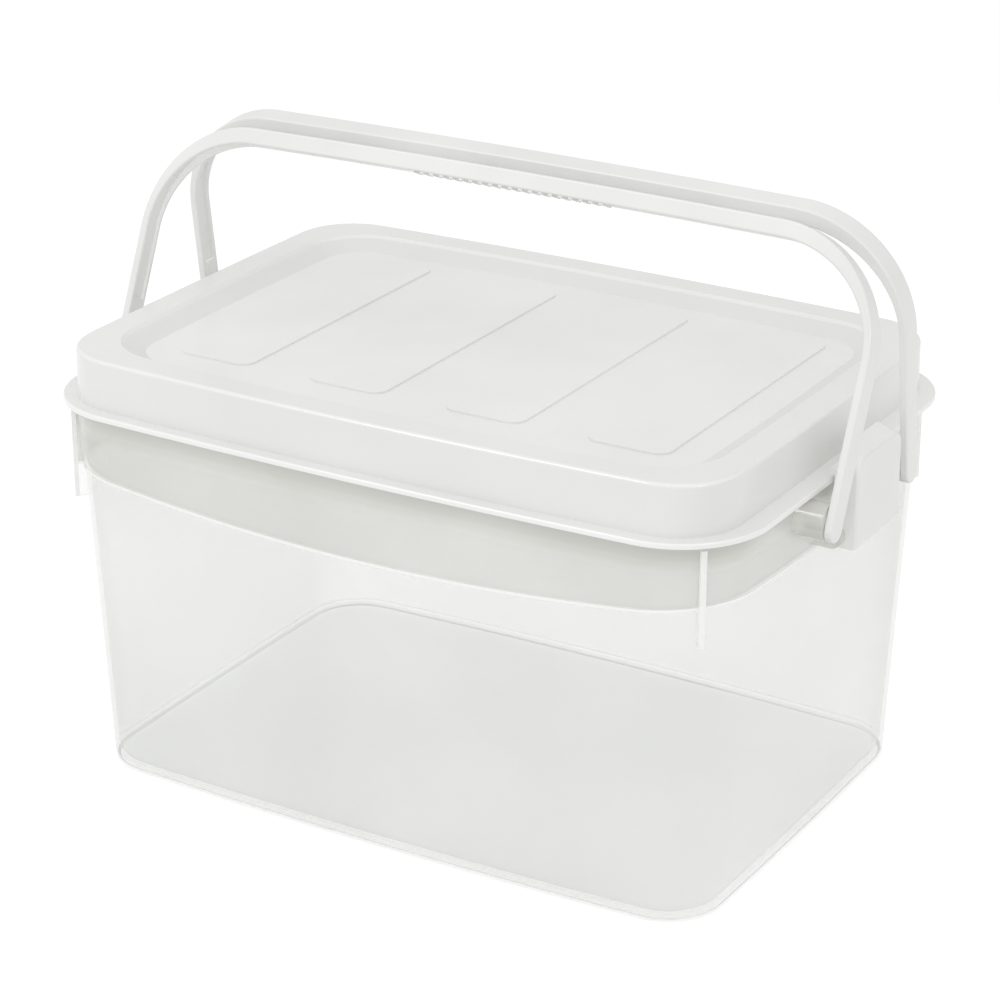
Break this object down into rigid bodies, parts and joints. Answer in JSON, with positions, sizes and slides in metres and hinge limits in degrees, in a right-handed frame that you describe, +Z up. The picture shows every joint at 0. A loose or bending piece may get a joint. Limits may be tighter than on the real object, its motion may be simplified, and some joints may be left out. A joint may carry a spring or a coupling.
{
  "type": "lidded storage box",
  "caption": "Clear rectangular tub with a lift-off white lid held by end clips, and two hinged carry handles that meet above it.",
  "frame": {"origin": "centre of the tub's underside", "axes": "+X along the long side to the right, -Y to the front, +Z up"},
  "size_m": [0.332, 0.2204, 0.2534],
  "materials": {
    "clear_plastic": "clear moulded, lightly frosted",
    "milky_plastic": "milky white, semi-gloss",
    "white_plastic": "white, semi-gloss"
  },
  "bodies": {
    "tub": {"tub": "clear_plastic"},
    "lid": {"lid": "milky_plastic"},
    "front_handle": {"front_handle": "white_plastic"},
    "rear_handle": {"rear_handle": "white_plastic"},
    "left_clip": {"left_clip": "white_plastic"},
    "right_clip": {"right_clip": "white_plastic"}
  },
  "joints": [
    {"name": "lid_lift", "type": "slide", "parent": "tub", "child": "lid", "axis": [0, 0, 1], "range_m": [0, 0.045]},
    {"name": "front_handle_swing", "type": "hinge", "parent": "tub", "child": "front_handle", "pos_m": [0, -0.0336, 0.15], "axis": [1, 0, 0], "range_deg": [0, 154]},
    {"name": "rear_handle_swing", "type": "hinge", "parent": "tub", "child": "rear_handle", "pos_m": [0, 0.0336, 0.15], "axis": [-1, 0, 0], "range_deg": [0, 137]},
    {"name": "left_clip_swing", "type": "hinge", "parent": "tub", "child": "left_clip", "pos_m": [-0.157, 0, 0.139], "axis": [0, -1, 0], "range_deg": [0, 100]},
    {"name": "right_clip_swing", "type": "hinge", "parent": "tub", "child": "right_clip", "pos_m": [0.157, 0, 0.139], "axis": [0, 1, 0], "range_deg": [0, 100]}
  ],
  "couplings": [
    {"joint": "left_clip_swing", "follows": "lid_lift", "rad_per_m": 38.3},
    {"joint": "right_clip_swing", "follows": "lid_lift", "rad_per_m": 38.3}
  ]
}
